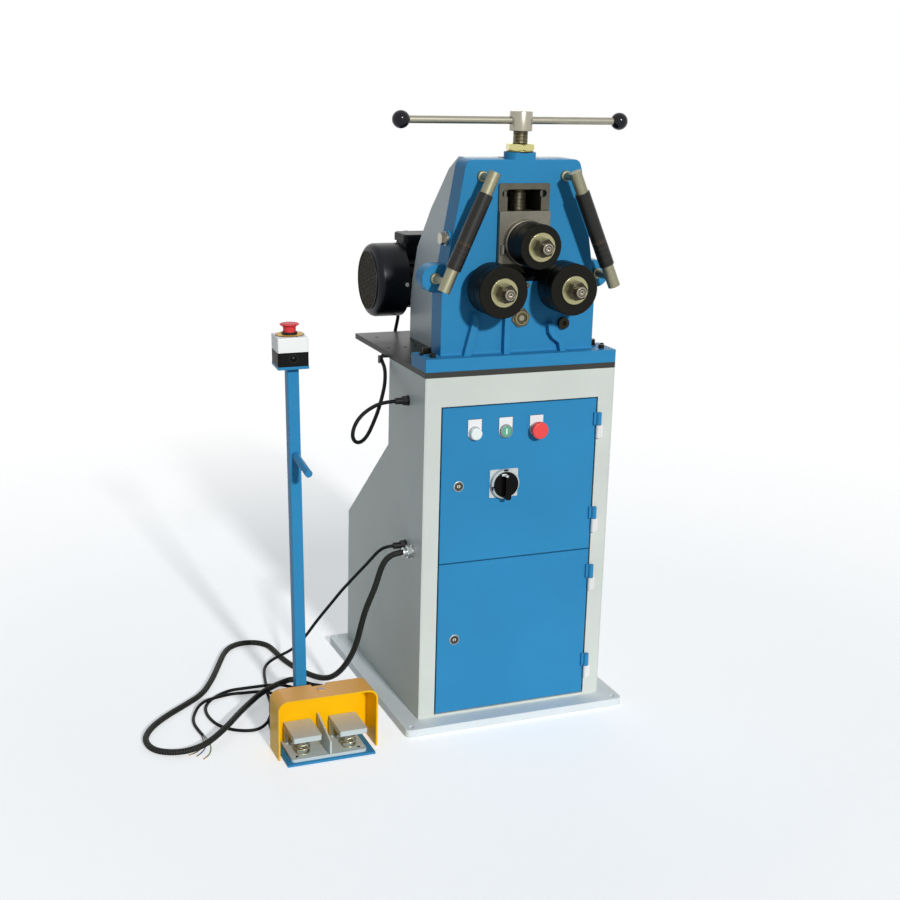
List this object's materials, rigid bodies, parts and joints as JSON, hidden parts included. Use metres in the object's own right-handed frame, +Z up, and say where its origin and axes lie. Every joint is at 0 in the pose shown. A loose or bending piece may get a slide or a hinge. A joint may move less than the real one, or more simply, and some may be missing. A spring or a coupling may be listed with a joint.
{
  "type": "ring roller",
  "caption": "Powered ring roller on a sheet-metal cabinet, with a screw-fed upper roll, side guide rollers, rear gear motor, pedal switch and a stop button on a post.",
  "frame": {"origin": "centre of the four anchor holes in the base tray, on the floor", "axes": "+X to the operator's right, +Y from the front doors to the back, +Z up"},
  "size_m": [1.1172, 0.7011, 1.385],
  "materials": {
    "cabinet_paint": "satin light grey paint",
    "door_fitting_metal": "polished",
    "head_paint": "blue enamel",
    "cover_paint": "satin grey paint",
    "plate_paint": "satin black paint",
    "black_steel": "oil-blackened",
    "bright_steel": "turned",
    "machined_steel": "ground",
    "zinc_steel": "yellow zinc",
    "bolt_steel": "blackened bolts",
    "black_gloss": "polished",
    "black_matte": "moulded",
    "green_plastic": "gloss",
    "red_plastic": "gloss",
    "pale_plastic": "moulded",
    "guard_paint": "yellow enamel",
    "pedal_casting": "as cast",
    "reducer_casting": "as cast",
    "motor_paint": "black gloss paint",
    "cable_sheath": "semi-matt",
    "core_insulation": "brown, blue and green cores",
    "gland_metal": "zinc plated",
    "panel_parts": "moulded"
  },
  "bodies": {
    "machine": {"base_tray": "cabinet_paint", "cabinet_left_side": "cabinet_paint", "cabinet_right_side": "cabinet_paint", "cabinet_back": "cabinet_paint", "cabinet_front_frame": "cabinet_paint", "cabinet_shelf": "cabinet_paint", "hinge_pins": "cabinet_paint", "electrical_panel": "panel_parts", "top_plate": "plate_paint", "fixing_bolts": "bolt_steel", "head_casting": "head_paint", "guide_frame": "machined_steel", "lower_bearings": "bright_steel", "gear_cover": "cover_paint", "worm_reducer": "reducer_casting", "motor_frame": "motor_paint", "motor_cowl": "motor_paint", "guide_rods": "bright_steel", "oil_fittings": "bolt_steel", "pedestal_stand": "head_paint", "estop_box_base": "black_matte", "estop_box_lid": "pale_plastic", "pedal_base": "pedal_casting", "pedal_guard": "guard_paint", "left_pedal_spring": "zinc_steel", "right_pedal_spring": "zinc_steel", "cable_glands": "gland_metal", "foot_switch_conduit": "cable_sheath", "mains_cord": "cable_sheath", "mains_wires": "core_insulation", "motor_cable": "cable_sheath"},
    "upper_door": {"upper_door": "head_paint", "upper_door_fittings": "door_fitting_metal", "switch_plate": "pale_plastic"},
    "start_button": {"start_button": "green_plastic"},
    "stop_button": {"stop_button": "red_plastic"},
    "switch_knob": {"switch_knob": "black_matte"},
    "upper_lock": {"upper_lock": "door_fitting_metal"},
    "lower_door": {"lower_door": "head_paint", "lower_door_fittings": "door_fitting_metal"},
    "lower_lock": {"lower_lock": "door_fitting_metal"},
    "left_roll": {"left_spindle": "bright_steel", "left_rolls": "black_steel", "left_gear": "machined_steel"},
    "right_roll": {"right_spindle": "bright_steel", "right_rolls": "black_steel", "right_gear": "machined_steel"},
    "slide_block": {"slide_block": "machined_steel"},
    "upper_roll": {"upper_spindle": "bright_steel", "upper_rolls": "black_steel"},
    "idler_gear": {"idler_gear": "machined_steel"},
    "motor_fan": {"motor_fan": "black_matte"},
    "lead_screw": {"lead_screw": "bright_steel"},
    "cross_bar": {"cross_bar": "bright_steel", "ball_knobs": "black_gloss"},
    "left_sleeve": {"left_sleeve": "black_steel"},
    "right_sleeve": {"right_sleeve": "black_steel"},
    "left_pedal": {"left_pedal": "pedal_casting"},
    "right_pedal": {"right_pedal": "pedal_casting"},
    "estop_button": {"estop_button": "red_plastic"}
  },
  "joints": [
    {"name": "upper_door_hinge", "type": "hinge", "parent": "machine", "child": "upper_door", "pos_m": [0.1935, -0.255, 0.575], "axis": [0, 0, 1], "range_deg": [0, 110]},
    {"name": "lower_door_hinge", "type": "hinge", "parent": "machine", "child": "lower_door", "pos_m": [0.1935, -0.255, 0.207], "axis": [0, 0, 1], "range_deg": [0, 110]},
    {"name": "upper_lock_turn", "type": "hinge", "parent": "upper_door", "child": "upper_lock", "pos_m": [-0.1475, -0.248, 0.572], "axis": [0, 1, 0], "range_deg": [0, 90]},
    {"name": "lower_lock_turn", "type": "hinge", "parent": "lower_door", "child": "lower_lock", "pos_m": [-0.1475, -0.248, 0.206], "axis": [0, 1, 0], "range_deg": [0, 90]},
    {"name": "main_switch_turn", "type": "hinge", "parent": "upper_door", "child": "switch_knob", "pos_m": [-0.038, -0.248, 0.571], "axis": [0, 1, 0], "range_deg": [0, 90]},
    {"name": "start_press", "type": "slide", "parent": "upper_door", "child": "start_button", "axis": [0, 1, 0], "range_m": [0, 0.003], "stiffness_N_per_m": 300},
    {"name": "stop_press", "type": "slide", "parent": "upper_door", "child": "stop_button", "axis": [0, 1, 0], "range_m": [0, 0.005]},
    {"name": "estop_press", "type": "slide", "parent": "machine", "child": "estop_button", "axis": [0.0232, 0, -0.9997], "range_m": [0, 0.005]},
    {"name": "block_slide", "type": "slide", "parent": "machine", "child": "slide_block", "axis": [0, 0, 1], "range_m": [-0.0255, 0.0435]},
    {"name": "screw_turn", "type": "hinge", "parent": "slide_block", "child": "lead_screw", "pos_m": [0, -0.189, 1.2], "axis": [0, 0, 1], "range_deg": [-3060, 5220]},
    {"name": "cross_bar_slide", "type": "slide", "parent": "lead_screw", "child": "cross_bar", "axis": [1, 0, 0], "range_m": [-0.19, 0.225]},
    {"name": "upper_roll_spin", "type": "hinge", "parent": "slide_block", "child": "upper_roll", "pos_m": [0, -0.248, 1.108], "axis": [0, 1, 0], "continuous": true},
    {"name": "right_roll_spin", "type": "hinge", "parent": "machine", "child": "right_roll", "pos_m": [0.0835, -0.248, 1.0135], "axis": [0, 1, 0], "continuous": true},
    {"name": "left_roll_spin", "type": "hinge", "parent": "machine", "child": "left_roll", "pos_m": [-0.0835, -0.248, 1.0135], "axis": [0, 1, 0], "continuous": true},
    {"name": "idler_spin", "type": "hinge", "parent": "machine", "child": "idler_gear", "pos_m": [0, -0.137, 0.99761], "axis": [0, 1, 0], "continuous": true},
    {"name": "fan_spin", "type": "hinge", "parent": "machine", "child": "motor_fan", "pos_m": [-0.16, 0.233, 0.9635], "axis": [1, 0, 0], "continuous": true},
    {"name": "left_sleeve_spin", "type": "hinge", "parent": "machine", "child": "left_sleeve", "pos_m": [-0.14875, -0.272, 1.13675], "axis": [0.4049, 0, 0.9143], "continuous": true},
    {"name": "right_sleeve_spin", "type": "hinge", "parent": "machine", "child": "right_sleeve", "pos_m": [0.14875, -0.272, 1.13675], "axis": [-0.4049, 0, 0.9143], "continuous": true},
    {"name": "left_pedal_press", "type": "hinge", "parent": "machine", "child": "left_pedal", "pos_m": [-0.5175, -0.249, 0.0465], "axis": [1, 0, 0], "range_deg": [0, 15], "stiffness_Nm_per_rad": 2, "springref_deg": -6.88, "deforming": ["left_pedal_spring"]},
    {"name": "right_pedal_press", "type": "hinge", "parent": "machine", "child": "right_pedal", "pos_m": [-0.4125, -0.249, 0.0465], "axis": [1, 0, 0], "range_deg": [0, 15], "stiffness_Nm_per_rad": 2, "springref_deg": -6.88, "deforming": ["right_pedal_spring"]}
  ],
  "couplings": [
    {"joint": "block_slide", "follows": "screw_turn", "m_per_rad": 0.00047746},
    {"joint": "left_roll_spin", "follows": "right_roll_spin", "ratio": 1},
    {"joint": "idler_spin", "follows": "right_roll_spin", "ratio": -0.47826},
    {"joint": "fan_spin", "follows": "right_roll_spin", "ratio": 80}
  ]
}
